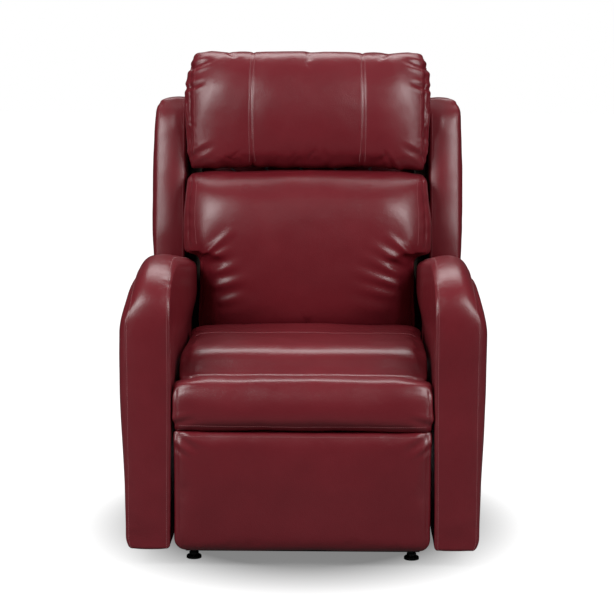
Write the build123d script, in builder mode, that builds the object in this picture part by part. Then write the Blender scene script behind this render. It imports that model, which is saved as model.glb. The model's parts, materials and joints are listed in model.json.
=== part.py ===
"""Power lift recliner chair: base, lift linkage, seat carriage, reclining back, legrest and handset.

Frame: origin on the floor under the middle of the chair, +X to the viewer's right when facing the chair,
-Y towards the front, +Z up. Millimetres.
"""
from build123d import *
from math import cos, radians, sin, tan
import os

os.makedirs("parts", exist_ok=True)

# ---- Driving dimensions ----
OVERALL_WIDTH = 826
OVERALL_DEPTH = 900
OVERALL_HEIGHT = 1163
ARM_INNER = 293
ARM_BOTTOM = 40
ARM_FRONT_Y = -440
ARM_REAR_Y = 205
ARM_BASE_REAR_Y = 300
FLAP_TOP = 262
ARM_TOP_Z = 687
ARM_REAR_TOP_Z = 636
BACK_TOP_Z = 1044
RECLINE_ANGLE = 12
LEG_PANEL_TOP = 316
LEG_PANEL_BOTTOM = 36

# ---- Travel of the three drives, in degrees ----
LIFT_TRAVEL = 66
LEGREST_TRAVEL = 85
BACK_TRAVEL = 38

# ---- Pivots in the side view (y, z) ----
LIFT_LOWER_BASE = (-300, 75)
LIFT_LOWER_SEAT = (20, 100)
LIFT_UPPER_BASE = (-242.3, 114.5)
LIFT_UPPER_SEAT = (238.6, 186.9)
BACK_PIVOT = (185, 345)
DRIVE_PIVOT = (-150, 300)
IDLER_PIVOT = (-223, 341)
DRIVE_PIN_NEAR = (-67, 124)
DRIVE_PIN_FAR = (-50, 87)
IDLER_PIN = (-140, 165)
PANEL_PIN_UPPER = (-360, 290)
PANEL_PIN_LOWER = (-343, 253)

# ---- Sections ----
HALF_WIDTH = OVERALL_WIDTH / 2
HALF_DEPTH = OVERALL_DEPTH / 2
TUBE = 30
TUBE_BOTTOM = 20
TUBE_TOP = TUBE_BOTTOM + TUBE
PIN_R = 6
PIN_CLEARANCE = 0.1
OPEN_PIVOT_PLAY = 1.2
PLATE = 4
LINK = 6
LEG_LINK = 5

# ---- Levers that the three actuators push, and the slotted rod ends ----
LIFT_LEVER = 120
LEGREST_LEVER = 90
BACK_LEVER = 110
SLOT_PLAY = 0.8


def back_y(z, offset=0):
    """Y of the back's sloping front plane at height z, moved rearwards by offset."""
    return 170 + (z - 330) * tan(radians(RECLINE_ANGLE)) + offset


BACK_REAR = HALF_DEPTH - back_y(BACK_TOP_Z)


def polar(centre, radius, angle):
    """The point at a radius and an angle from a pivot, in the side view."""
    return (centre[0] + radius * cos(radians(angle)), centre[1] + radius * sin(radians(angle)))


def slab(points, x_from, x_to):
    """A plate with a side-view outline, between two x planes."""
    with BuildSketch(Plane.YZ.offset(x_from)) as profile:
        with BuildLine():
            Polyline(*points, close=True)
        make_face()
    extrude(profile.sketch, amount=x_to - x_from)


def link(points, radius, x_from, x_to, hole=PIN_R + PIN_CLEARANCE):
    """A round-ended link plate with a hole at each pivot."""
    with BuildSketch(Plane.YZ.offset(x_from)) as profile:
        with Locations(*points):
            Circle(radius)
        make_hull()
        with Locations(*points):
            Circle(hole, mode=Mode.SUBTRACT)
    extrude(profile.sketch, amount=x_to - x_from)


def pin(centre, radius, x_from, x_to, mode=Mode.ADD):
    """A round bar along X."""
    with BuildSketch(Plane.YZ.offset(x_from)) as profile:
        with Locations(centre):
            Circle(radius)
    extrude(profile.sketch, amount=x_to - x_from, mode=mode)


def block(x_range, y_range, z_range, mode=Mode.ADD):
    """A rectangular block between stated limits."""
    size = [high - low for low, high in (x_range, y_range, z_range)]
    centre = [(high + low) / 2 for low, high in (x_range, y_range, z_range)]
    with Locations(tuple(centre)):
        Box(*size, mode=mode)


def save(builder, label):
    """Label a finished piece and write its file."""
    builder.part.label = label
    export_step(builder.part, f"parts/{label}.step")


# ================= Base: rests on the floor =================
SIDE_TUBE_X = (200, 230)
FRONT_TUBE_Y = (-365, -335)
REAR_TUBE_Y = (315, 345)
FOOT_X = 252
FOOT_R = 17.5
NECK_R = 11
STEM_R = 6

with BuildPart() as base_side_tubes:
    block(SIDE_TUBE_X, (FRONT_TUBE_Y[1], REAR_TUBE_Y[0]), (TUBE_BOTTOM, TUBE_TOP))
    mirror(about=Plane.YZ)
save(base_side_tubes, "base_side_tubes")

with BuildPart() as base_cross_tubes:
    for tube_y in (FRONT_TUBE_Y, REAR_TUBE_Y):
        block((-FOOT_X - 18, FOOT_X + 18), tube_y, (TUBE_BOTTOM, TUBE_TOP))
save(base_cross_tubes, "base_cross_tubes")

with BuildPart() as glide_feet:
    for tube_y in (FRONT_TUBE_Y, REAR_TUBE_Y):
        for side in (-1, 1):
            with BuildSketch(Plane(origin=(side * FOOT_X, sum(tube_y) / 2, 0), x_dir=(1, 0, 0), z_dir=(0, -1, 0))):
                with BuildLine():
                    Polyline((0, 0), (FOOT_R, 0), (FOOT_R, 5), (FOOT_R - 2, 7), (NECK_R, 8.5), (NECK_R, 14),
                             (STEM_R, 14), (STEM_R, TUBE_BOTTOM), (0, TUBE_BOTTOM), close=True)
                make_face()
            revolve(axis=Axis((side * FOOT_X, sum(tube_y) / 2, 0), (0, 0, 1)))
save(glide_feet, "glide_feet")

LOWER_BRACKET_X = 226 + LINK
UPPER_BRACKET_X = 204
with BuildPart() as lift_pivot_brackets:
    slab([(-325, TUBE_TOP), (-270, TUBE_TOP), (-286, 92), (-314, 92)], LOWER_BRACKET_X - 3, LOWER_BRACKET_X + 3)
    block((SIDE_TUBE_X[1], LOWER_BRACKET_X + 3), (-325, -270), (40, TUBE_TOP))
    pin(LIFT_LOWER_BASE, 7 + PIN_CLEARANCE, LOWER_BRACKET_X - 4, LOWER_BRACKET_X + 4, Mode.SUBTRACT)
    slab([(-262, TUBE_TOP), (-222, TUBE_TOP), (-226, 132), (-258, 132)], UPPER_BRACKET_X, UPPER_BRACKET_X + 6)
    pin(LIFT_UPPER_BASE, PIN_R + PIN_CLEARANCE, UPPER_BRACKET_X - 1, UPPER_BRACKET_X + 7, Mode.SUBTRACT)
    mirror(about=Plane.YZ)
save(lift_pivot_brackets, "lift_pivot_brackets")

# The lift actuator lies level at the mean height of its lever's tip.
LIFT_TIP = polar(LIFT_LOWER_BASE, LIFT_LEVER, 90 - LIFT_TRAVEL / 2)
LIFT_AXIS_Z = (LIFT_TIP[1] + LIFT_LOWER_BASE[1] + LIFT_LEVER) / 2
LIFT_BODY_Y = (-150, 150)
MOTOR_LENGTH = 100

with BuildPart() as lift_actuator_mount:
    slab([(318, TUBE_TOP), (344, TUBE_TOP), (258, 175), (LIFT_BODY_Y[1] + MOTOR_LENGTH, 205),
          (LIFT_BODY_Y[1] + MOTOR_LENGTH, 160)], -12, 12)
save(lift_actuator_mount, "lift_actuator_mount")


def actuator_housing(x, z, tube_y, tube_r, motor_y, motor_z):
    """A linear actuator's tube with its motor box, and a bore for the rod."""
    bore_r = 10
    wall = 6
    with Locations(Plane(origin=(x, tube_y[0], z), x_dir=(1, 0, 0), z_dir=(0, 1, 0))):
        Cylinder(tube_r, tube_y[1] - tube_y[0], align=(Align.CENTER, Align.CENTER, Align.MIN))
    block((x - tube_r - wall, x + tube_r + wall), motor_y, motor_z)
    rod_end = tube_y[0] if motor_y[0] > tube_y[0] else tube_y[1]
    deep = 1 if motor_y[0] > tube_y[0] else -1
    length = tube_y[1] - tube_y[0] - wall
    with Locations(Plane(origin=(x, rod_end, z), x_dir=(1, 0, 0), z_dir=(0, deep, 0))):
        Cylinder(bore_r, length, align=(Align.CENTER, Align.CENTER, Align.MIN), mode=Mode.SUBTRACT)


def actuator_rod(x, z, inner_y, tip_y, slot_half_width, slot_half_length):
    """A push rod with a slotted eye, in which the lever's pin rides."""
    rod_r = 9
    eye_y = slot_half_width + 8
    eye_z = slot_half_length + 9
    near = tip_y + eye_y if inner_y > tip_y else tip_y - eye_y
    deep = 1 if inner_y > tip_y else -1
    with Locations(Plane(origin=(x, near, z), x_dir=(1, 0, 0), z_dir=(0, deep, 0))):
        Cylinder(rod_r, abs(inner_y - near), align=(Align.CENTER, Align.CENTER, Align.MIN))
    block((x - 10, x + 10), (tip_y - eye_y, tip_y + eye_y), (z - eye_z, z + eye_z))
    block((x - 10, x + 10), (tip_y - slot_half_width, tip_y + slot_half_width),
          (z - slot_half_length, z + slot_half_length), Mode.SUBTRACT)


def slot_size(lever, travel):
    """Half width and half length of the slot for a lever that swings evenly about its crossing."""
    half = travel / 2
    lag = lever * (sin(radians(half)) / 2 - sin(radians(half / 2)))
    rise = lever * (1 - cos(radians(half)))
    return PIN_R + abs(lag) + SLOT_PLAY, rise / 2 + PIN_R + SLOT_PLAY


with BuildPart() as lift_actuator_housing:
    actuator_housing(0, LIFT_AXIS_Z, LIFT_BODY_Y, 22, (LIFT_BODY_Y[1], LIFT_BODY_Y[1] + MOTOR_LENGTH),
                     (LIFT_AXIS_Z - 26, LIFT_AXIS_Z + 26))
save(lift_actuator_housing, "lift_actuator_housing")

with BuildPart() as lift_actuator_rod:
    actuator_rod(0, LIFT_AXIS_Z, LIFT_BODY_Y[0] + 140, LIFT_TIP[0], *slot_size(LIFT_LEVER, LIFT_TRAVEL))
save(lift_actuator_rod, "lift_actuator_rod")

SUPPLY_X = (-185, -85)
with BuildPart() as power_supply:
    block(SUPPLY_X, (235, 315), (TUBE_BOTTOM + 4, 84))
    fillet(power_supply.edges().filter_by(Axis.Z), 6)
    block((-150, -120), (300, 316), (56, 78), Mode.SUBTRACT)
save(power_supply, "power_supply")

with BuildPart() as power_inlet:
    block((-149.5, -120.5), (300, 314), (56.5, 77.5))
    block((-146, -124), (305, 315), (60, 74), Mode.SUBTRACT)
    with Locations((-141, 308.5, 67), (-135, 308.5, 67), (-129, 308.5, 67)):
        Box(1.6, 7, 4)
save(power_inlet, "power_inlet")

# ================= Lift linkage =================
LOWER_LINK_X = 222
UPPER_LINK_X = 212

with BuildPart() as lift_lower_links:
    link([LIFT_LOWER_BASE, LIFT_LOWER_SEAT], 15, LOWER_LINK_X, LOWER_LINK_X + LINK, hole=7)
    mirror(about=Plane.YZ)
save(lift_lower_links, "lift_lower_links")

with BuildPart() as lift_torque_tube:
    pin(LIFT_LOWER_BASE, 14, -LOWER_LINK_X + 0.5, LOWER_LINK_X - 0.5)
    pin(LIFT_LOWER_BASE, 7, -LOWER_BRACKET_X - 4, LOWER_BRACKET_X + 4)
    for side in (-1, 1):
        link([LIFT_LOWER_BASE, LIFT_TIP], 12, side * 13, side * 19, hole=0.5)
    pin(LIFT_TIP, PIN_R, -19, 19)
save(lift_torque_tube, "lift_torque_tube")

with BuildPart() as lift_lower_pins:
    pin(LIFT_LOWER_SEAT, 7, LOWER_LINK_X - 1, 235)
    pin(LIFT_LOWER_SEAT, 10, LOWER_LINK_X - 3, LOWER_LINK_X)
    mirror(about=Plane.YZ)
save(lift_lower_pins, "lift_lower_pins")

with BuildPart() as lift_upper_links:
    link([LIFT_UPPER_BASE, LIFT_UPPER_SEAT], 14, UPPER_LINK_X, UPPER_LINK_X + LINK, hole=PIN_R)
    mirror(about=Plane.YZ)
save(lift_upper_links, "lift_upper_links")

with BuildPart() as lift_upper_pins:
    pin(LIFT_UPPER_BASE, PIN_R, UPPER_BRACKET_X - 2, UPPER_LINK_X + LINK)
    pin(LIFT_UPPER_SEAT, PIN_R, UPPER_LINK_X, 235)
    mirror(about=Plane.YZ)
save(lift_upper_pins, "lift_upper_pins")

# ================= Carriage: seat box, arms and what they carry =================
SIDE_PLATE_X = 268
SIDE_PLATE_OUT = SIDE_PLATE_X + PLATE
LIFT_PLATE_X = 230.5
MID_TUBE = ((20, 50), (264, 289))
REAR_TUBE = ((262, 290), (190, 220))
RAIL_OUT = ARM_INNER
RAIL_IN = 274
BOLT_R = 4
ARM_BOLTS = ((-290, 325, RAIL_IN - 5), (80, 320, SIDE_PLATE_X - 5))

with BuildPart() as mechanism_side_plates:
    slab([(-250, 325), (-250, 357), (120, 357), (170, 368), (205, 368), (212, 345), (296, 225), (296, 186),
          (258, 186), (150, 255), (-165, 275)], SIDE_PLATE_X, SIDE_PLATE_OUT)
    for centre in (DRIVE_PIVOT, IDLER_PIVOT, BACK_PIVOT):
        pin(centre, PIN_R + PIN_CLEARANCE, SIDE_PLATE_X - 1, SIDE_PLATE_OUT + 1, Mode.SUBTRACT)
    pin(ARM_BOLTS[1][:2], BOLT_R, SIDE_PLATE_X - 1, SIDE_PLATE_OUT + 1, Mode.SUBTRACT)
    mirror(about=Plane.YZ)
save(mechanism_side_plates, "mechanism_side_plates")

with BuildPart() as carriage_cross_tubes:
    for tube_y, tube_z in (MID_TUBE, REAR_TUBE):
        block((-SIDE_PLATE_X, SIDE_PLATE_X), tube_y, tube_z)
save(carriage_cross_tubes, "carriage_cross_tubes")

with BuildPart() as carriage_lift_brackets:
    slab([(2, 84), (38, 84), (90, 160), (225, 170), (256, 170), (261.9, 190), (261.9, 215), (70, 262), (51, 263.9),
          (19, 263.9), (2, 180)], LIFT_PLATE_X, LIFT_PLATE_X + PLATE)
    pin(LIFT_LOWER_SEAT, 7 + PIN_CLEARANCE, LIFT_PLATE_X - 1, LIFT_PLATE_X + PLATE + 1, Mode.SUBTRACT)
    pin(LIFT_UPPER_SEAT, PIN_R + OPEN_PIVOT_PLAY, LIFT_PLATE_X - 1, LIFT_PLATE_X + PLATE + 1, Mode.SUBTRACT)
    mirror(about=Plane.YZ)
save(carriage_lift_brackets, "carriage_lift_brackets")

with BuildPart() as seat_side_rails:
    block((RAIL_IN, RAIL_OUT), (-330, 130), (300, 340))
    for bolt_y, bolt_z, _ in ARM_BOLTS:
        pin((bolt_y, bolt_z), BOLT_R, RAIL_IN - 1, RAIL_OUT + 1, Mode.SUBTRACT)
    for centre in (DRIVE_PIVOT, IDLER_PIVOT):
        pin(centre, 11, RAIL_IN - 1, RAIL_IN + 4, Mode.SUBTRACT)
    mirror(about=Plane.YZ)
save(seat_side_rails, "seat_side_rails")

SPRING_Z = 350
with BuildPart() as seat_end_rails:
    block((-RAIL_IN, RAIL_IN), (-330, -310), (310, SPRING_Z))
    block((-SIDE_PLATE_X, SIDE_PLATE_X), (112, 132), (300, SPRING_Z))
save(seat_end_rails, "seat_end_rails")


def zigzag(x, start, stop, count, reach):
    """Corner points of one sinuous spring that runs along the sketch's second axis."""
    step = (stop - start) / count
    return [(x + reach * (-1) ** turn, start + turn * step) for turn in range(count + 1)]


with BuildPart() as seat_springs:
    with BuildSketch(Plane.XY.offset(SPRING_Z)):
        for spring_x in (-190, -95, 0, 95, 190):
            with BuildLine():
                Polyline(*zigzag(spring_x, -322, 126, 14, 22))
            trace(line_width=4)
    extrude(amount=3.5)
save(seat_springs, "seat_springs")

SEAT_TOP = 478
with BuildPart() as seat_cushion:
    with BuildSketch(Plane.YZ.offset(-275)):
        with BuildLine():
            Polyline((-330, SEAT_TOP - 14), (-330, 358), (90, 358), (90, SEAT_TOP - 20))
            ThreePointArc((90, SEAT_TOP - 20), (-120, SEAT_TOP), (-330, SEAT_TOP - 14))
        make_face()
    extrude(amount=550)
save(seat_cushion, "seat_cushion")

ROLL_HALF = 291.5
with BuildPart() as seat_front_roll:
    with BuildSketch(Plane.YZ.offset(-ROLL_HALF)):
        with BuildLine():
            Polyline((-380, SEAT_TOP - 4), (-330, SEAT_TOP - 14), (-330, 320), (-434, 320), (-HALF_DEPTH, 345),
                     (-HALF_DEPTH, 405))
            ThreePointArc((-HALF_DEPTH, 405), (-428, 455), (-380, SEAT_TOP - 4))
        make_face()
    extrude(amount=2 * ROLL_HALF)
save(seat_front_roll, "seat_front_roll")

FRAME_X = (318.5, 375.5)
FRAME_Y = (-409.5, 184.5)
FRAME_TOP = 599.5
FRAME_BOARD = 15.5


def arm_frame(label, side):
    """Plywood arm box, open below, on one side of the chair."""
    with BuildPart() as frame:
        x_low, x_high = sorted((side * FRAME_X[0], side * FRAME_X[1]))
        block((x_low, x_high), FRAME_Y, (ARM_BOTTOM, FRAME_TOP))
        block((x_low + FRAME_BOARD, x_high - FRAME_BOARD), (FRAME_Y[0] + FRAME_BOARD, FRAME_Y[1] - FRAME_BOARD),
              (ARM_BOTTOM, FRAME_TOP - FRAME_BOARD), Mode.SUBTRACT)
        for bolt_y, bolt_z, _ in ARM_BOLTS:
            pin((bolt_y, bolt_z), BOLT_R, side * 318, side * 331, Mode.SUBTRACT)
    save(frame, label)


POCKET_Y = (-95, 30)
POCKET_Z = (395, 520)
POCKET_RECESS_X = 386
POCKET_WALL_X = HALF_WIDTH - 2.7


def arm_upholstery(label, side, has_pocket):
    """Padded arm cover round its frame, with the recess behind the side pocket where it has one."""
    with BuildPart() as arm:
        with BuildSketch(Plane.YZ.offset(side * ARM_INNER)):
            with BuildLine():
                Polyline((-250, ARM_TOP_Z), (ARM_REAR_Y, ARM_REAR_TOP_Z), (ARM_REAR_Y, 300), (ARM_BASE_REAR_Y, FLAP_TOP),
                         (ARM_BASE_REAR_Y, ARM_BOTTOM), (ARM_FRONT_Y, ARM_BOTTOM), (ARM_FRONT_Y, 575))
                ThreePointArc((ARM_FRONT_Y, 575), (-384, 654), (-250, ARM_TOP_Z))
            make_face()
        extrude(amount=side * (HALF_WIDTH - ARM_INNER))
        fillet(arm.edges().filter_by(Axis.Z).group_by(Axis.Y)[0], 24)
        x_low, x_high = sorted((side * (FRAME_X[0] - 0.5), side * (FRAME_X[1] + 0.5)))
        block((x_low, x_high), (FRAME_Y[0] - 0.5, FRAME_Y[1] + 0.5), (ARM_BOTTOM, FRAME_TOP + 0.5), Mode.SUBTRACT)
        for bolt_y, bolt_z, _ in ARM_BOLTS:
            pin((bolt_y, bolt_z), BOLT_R, side * (ARM_INNER - 1), side * (FRAME_X[0] + 1), Mode.SUBTRACT)
        if has_pocket:
            block((-HALF_WIDTH, -POCKET_RECESS_X), POCKET_Y, (POCKET_Z[0], ARM_TOP_Z), Mode.SUBTRACT)
    save(arm, label)


for side_name, side_sign in (("left", 1), ("right", -1)):
    arm_frame(f"{side_name}_arm_frame", side_sign)
    arm_upholstery(f"{side_name}_arm_upholstery", side_sign, side_sign < 0)

with BuildPart() as arm_bolts:
    for bolt_y, bolt_z, head_x in ARM_BOLTS:
        pin((bolt_y, bolt_z), 8, head_x, head_x + 5)
        pin((bolt_y, bolt_z), BOLT_R, head_x + 5, 330)
    mirror(about=Plane.YZ)
save(arm_bolts, "arm_bolts")

with BuildPart() as side_pocket:
    block((-HALF_WIDTH, -POCKET_WALL_X), POCKET_Y, POCKET_Z)
save(side_pocket, "side_pocket")

with BuildPart() as rear_flap:
    block((-290, 290), (302, 305), (125, FLAP_TOP))
    block((-SIDE_PLATE_X, SIDE_PLATE_X), (REAR_TUBE[0][1], 302), (200, 215))
save(rear_flap, "rear_flap")

# ================= Legrest linkage =================
CRANK_X = 262
BAR_X = 256
BRACKET_X = 250
LEG_HOLE = 5 + PIN_CLEARANCE
LEG_PIN = 5

LEGREST_TIP = polar(DRIVE_PIVOT, LEGREST_LEVER, -90 + LEGREST_TRAVEL / 2)
LEGREST_AXIS_Z = (LEGREST_TIP[1] + DRIVE_PIVOT[1] - LEGREST_LEVER) / 2
LEGREST_LANE = 100

with BuildPart() as legrest_drive_cranks:
    link([DRIVE_PIVOT, DRIVE_PIN_FAR], 13, CRANK_X, CRANK_X + LEG_LINK, hole=LEG_PIN)
    pin(DRIVE_PIVOT, PIN_R, CRANK_X, CRANK_X + LEG_LINK, Mode.SUBTRACT)
    pin(DRIVE_PIN_NEAR, LEG_PIN, CRANK_X, CRANK_X + LEG_LINK, Mode.SUBTRACT)
    mirror(about=Plane.YZ)
save(legrest_drive_cranks, "legrest_drive_cranks")

with BuildPart() as legrest_drive_pins:
    for centre in (DRIVE_PIN_NEAR, DRIVE_PIN_FAR):
        pin(centre, LEG_PIN, BAR_X - 0.5, CRANK_X + LEG_LINK)
        pin(centre, 8, BAR_X - 3, BAR_X - 0.5)
    mirror(about=Plane.YZ)
save(legrest_drive_pins, "legrest_drive_pins")

with BuildPart() as legrest_torque_tube:
    pin(DRIVE_PIVOT, 11, -CRANK_X + 0.5, CRANK_X - 0.5)
    pin(DRIVE_PIVOT, PIN_R, -SIDE_PLATE_OUT - 2, SIDE_PLATE_OUT + 2)
    for side in (-1, 1):
        link([DRIVE_PIVOT, LEGREST_TIP], 11, LEGREST_LANE + side * 11.5, LEGREST_LANE + side * 16.5, hole=0.5)
    pin(LEGREST_TIP, PIN_R, LEGREST_LANE - 16.5, LEGREST_LANE + 16.5)
save(legrest_torque_tube, "legrest_torque_tube")

with BuildPart() as legrest_idler_cranks:
    link([IDLER_PIVOT, IDLER_PIN], 12, CRANK_X, CRANK_X + LEG_LINK, hole=LEG_PIN)
    pin(IDLER_PIVOT, PIN_R, CRANK_X, CRANK_X + LEG_LINK, Mode.SUBTRACT)
    mirror(about=Plane.YZ)
save(legrest_idler_cranks, "legrest_idler_cranks")

with BuildPart() as legrest_idler_pins:
    pin(IDLER_PIVOT, PIN_R, CRANK_X, SIDE_PLATE_OUT + 2)
    pin(IDLER_PIN, LEG_PIN, BAR_X - 0.5, CRANK_X + LEG_LINK)
    pin(IDLER_PIN, 8, BAR_X - 3, BAR_X - 0.5)
    mirror(about=Plane.YZ)
save(legrest_idler_pins, "legrest_idler_pins")

with BuildPart() as legrest_upper_bars:
    link([DRIVE_PIN_NEAR, PANEL_PIN_UPPER], 10, BAR_X, BAR_X + LEG_LINK, hole=LEG_HOLE + 0.3)
    pin(IDLER_PIN, LEG_HOLE + 1, BAR_X, BAR_X + LEG_LINK, Mode.SUBTRACT)
    mirror(about=Plane.YZ)
save(legrest_upper_bars, "legrest_upper_bars")

with BuildPart() as legrest_lower_bars:
    link([DRIVE_PIN_FAR, PANEL_PIN_LOWER], 10, BAR_X, BAR_X + LEG_LINK, hole=LEG_HOLE + 0.3)
    mirror(about=Plane.YZ)
save(legrest_lower_bars, "legrest_lower_bars")

BOARD_Y = (-397, -382)
PANEL_HALF = 291
with BuildPart() as legrest_board:
    block((-270, 270), BOARD_Y, (LEG_PANEL_BOTTOM + 24, LEG_PANEL_TOP - 10))
save(legrest_board, "legrest_board")

with BuildPart() as legrest_pad:
    with BuildSketch(Plane.XZ.offset(-BOARD_Y[0])):
        with Locations((0, (LEG_PANEL_TOP + LEG_PANEL_BOTTOM) / 2)):
            RectangleRounded(2 * PANEL_HALF, LEG_PANEL_TOP - LEG_PANEL_BOTTOM, 26)
    extrude(amount=45)
    fillet(legrest_pad.faces().sort_by(Axis.Y)[0].edges(), 14)
save(legrest_pad, "legrest_pad")

with BuildPart() as legrest_brackets:
    slab([(BOARD_Y[1], 110), (BOARD_Y[1], 300), (-362, 303), (-347, 290), (-330, 254), (-338, 241), (-352, 241)],
         BRACKET_X, BRACKET_X + LEG_LINK)
    block((BRACKET_X - 20, BRACKET_X), (BOARD_Y[1], BOARD_Y[1] + 4), (120, 290))
    for centre in (PANEL_PIN_UPPER, PANEL_PIN_LOWER):
        pin(centre, LEG_PIN, BRACKET_X, BRACKET_X + LEG_LINK, Mode.SUBTRACT)
    mirror(about=Plane.YZ)
save(legrest_brackets, "legrest_brackets")

with BuildPart() as legrest_bracket_pins:
    for centre in (PANEL_PIN_UPPER, PANEL_PIN_LOWER):
        pin(centre, LEG_PIN, BRACKET_X, BAR_X + LEG_LINK + 0.5)
    mirror(about=Plane.YZ)
save(legrest_bracket_pins, "legrest_bracket_pins")

LEGREST_BODY_Y = (-30, 150)
with BuildPart() as legrest_actuator_housing:
    actuator_housing(LEGREST_LANE, LEGREST_AXIS_Z, LEGREST_BODY_Y, 18, (LEGREST_BODY_Y[1], 236),
                     (LEGREST_AXIS_Z - 24, LEGREST_AXIS_Z + 24))
    block((LEGREST_LANE - 12, LEGREST_LANE + 12), (236, REAR_TUBE[0][0]), (200, 218))
save(legrest_actuator_housing, "legrest_actuator_housing")

with BuildPart() as legrest_actuator_rod:
    actuator_rod(LEGREST_LANE, LEGREST_AXIS_Z, LEGREST_BODY_Y[0] + 130, LEGREST_TIP[0],
                 *slot_size(LEGREST_LEVER, LEGREST_TRAVEL))
save(legrest_actuator_rod, "legrest_actuator_rod")

# ================= Back =================
BACK_LANE = -100
BACK_TIP = polar(BACK_PIVOT, BACK_LEVER, -90 + BACK_TRAVEL / 2)
BACK_AXIS_Z = (BACK_TIP[1] + BACK_PIVOT[1] - BACK_LEVER) / 2
BACK_BODY_Y = (-100, 70)

with BuildPart() as back_actuator_housing:
    actuator_housing(BACK_LANE, BACK_AXIS_Z, BACK_BODY_Y, 18, (-186, BACK_BODY_Y[0]),
                     (BACK_AXIS_Z - 24, BACK_AXIS_Z + 24))
    block((BACK_LANE - 10, BACK_LANE + 10), MID_TUBE[0], (BACK_AXIS_Z + 14, MID_TUBE[1][0]))
save(back_actuator_housing, "back_actuator_housing")

with BuildPart() as back_actuator_rod:
    actuator_rod(BACK_LANE, BACK_AXIS_Z, BACK_BODY_Y[1] - 60, BACK_TIP[0], *slot_size(BACK_LEVER, BACK_TRAVEL))
save(back_actuator_rod, "back_actuator_rod")

HINGE_X = (273.5, 278.5)
with BuildPart() as back_pivot_shaft:
    pin(BACK_PIVOT, 12, -SIDE_PLATE_X + 1, SIDE_PLATE_X - 1)
    pin(BACK_PIVOT, PIN_R, -HINGE_X[1] - 2, HINGE_X[1] + 2)
    for side in (-1, 1):
        link([BACK_PIVOT, BACK_TIP], 11, BACK_LANE + side * 11.5, BACK_LANE + side * 16.5, hole=0.5)
    pin(BACK_TIP, PIN_R, BACK_LANE - 16.5, BACK_LANE + 16.5)
save(back_pivot_shaft, "back_pivot_shaft")

STILE_OFFSETS = (45, 110)
with BuildPart() as back_hinge_plates:
    slab([(168, 330), (202, 330), (back_y(400, 100), 400), (back_y(520, 100), 520), (back_y(520, 48), 520),
          (back_y(400, 30), 400), (168, 360)], *HINGE_X)
    pin(BACK_PIVOT, PIN_R, HINGE_X[0] - 1, HINGE_X[1] + 1, Mode.SUBTRACT)
    mirror(about=Plane.YZ)
save(back_hinge_plates, "back_hinge_plates")


def back_slab(z_range, offsets, x_range):
    """A board that follows the back's slope."""
    low, high = z_range
    slab([(back_y(low, offsets[0]), low), (back_y(low, offsets[1]), low), (back_y(high, offsets[1]), high),
          (back_y(high, offsets[0]), high)], *x_range)


with BuildPart() as back_stiles:
    back_slab((365, 1030), STILE_OFFSETS, (HINGE_X[1], 306))
    mirror(about=Plane.YZ)
save(back_stiles, "back_stiles")

with BuildPart() as back_rails:
    back_slab((440, 500), (25, 55), (-HINGE_X[0], HINGE_X[0]))
    back_slab((740, 770), (45, 75), (-HINGE_X[1], HINGE_X[1]))
    back_slab((980, 1028), (25, 55), (-HINGE_X[1], HINGE_X[1]))
save(back_rails, "back_rails")

BACK_SLOPE = Plane(origin=(0, back_y(440, 21), 440), x_dir=(1, 0, 0),
                   z_dir=(0, -cos(radians(RECLINE_ANGLE)), sin(radians(RECLINE_ANGLE))))
with BuildPart() as back_springs:
    with BuildSketch(BACK_SLOPE):
        for spring_x in (-180, -90, 0, 90, 180):
            with BuildLine():
                Polyline(*zigzag(spring_x, 10, 590, 18, 20))
            trace(line_width=4)
    extrude(amount=3.5)
save(back_springs, "back_springs")

LUMBAR_HALF = 275
EAR_HALF = 312
EAR_FRONT_Z = 658
EAR_REAR_Z = 690
LUMBAR_CROWN = [(106, 770), (140, 820), (200, 861), (back_y(861, -2), 861)]
with BuildPart() as lumbar_cushion:
    slab([(back_y(440, -2), 440), (104, 440), (94, 500), (84, 580), (86, 680), *LUMBAR_CROWN],
         -LUMBAR_HALF, LUMBAR_HALF)
    slab([(back_y(EAR_REAR_Z, -2), EAR_REAR_Z), (102, EAR_FRONT_Z), (98, 700), *LUMBAR_CROWN], -EAR_HALF, EAR_HALF)
save(lumbar_cushion, "lumbar_cushion")

PILLOW_HALF = 316
with BuildPart() as head_pillow:
    with BuildSketch(Plane.YZ.offset(-PILLOW_HALF)):
        with BuildLine():
            Polyline((350, 1130), (350, 1056), (back_y(1044, -2), 1048), (back_y(866, -2), 866), (215, 866))
            ThreePointArc((215, 866), (184, 950), (212, 1070))
            Polyline((212, 1070), (232, 1130), (262, OVERALL_HEIGHT), (318, OVERALL_HEIGHT), (350, 1130))
        make_face()
    extrude(amount=2 * PILLOW_HALF)
save(head_pillow, "head_pillow")

WING_X = (318, 402)
WING_FRONT_Y = 216
WING_BOTTOM = 352


def back_wing(label, side):
    """Padded side bolster of the back, above and behind the arm."""
    with BuildPart() as wing:
        slab([(WING_FRONT_Y, WING_BOTTOM), (WING_FRONT_Y, 690), (back_y(1020, -30), 1020),
              (back_y(BACK_TOP_Z, -12), BACK_TOP_Z),
              (back_y(BACK_TOP_Z, BACK_REAR), BACK_TOP_Z), (back_y(WING_BOTTOM, BACK_REAR), WING_BOTTOM)],
             *sorted((side * WING_X[0], side * WING_X[1])))
    save(wing, label)


back_wing("left_wing", 1)
back_wing("right_wing", -1)

with BuildPart() as back_outer_panel:
    slab([(back_y(WING_BOTTOM, 113), WING_BOTTOM), (back_y(WING_BOTTOM, BACK_REAR), WING_BOTTOM),
          (back_y(BACK_TOP_Z, BACK_REAR), BACK_TOP_Z),
          (back_y(BACK_TOP_Z, 32), BACK_TOP_Z), (back_y(1031, 32), 1031), (back_y(1031, 113), 1031)],
         -WING_X[0] + 1, WING_X[0] - 1)
save(back_outer_panel, "back_outer_panel")

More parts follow.
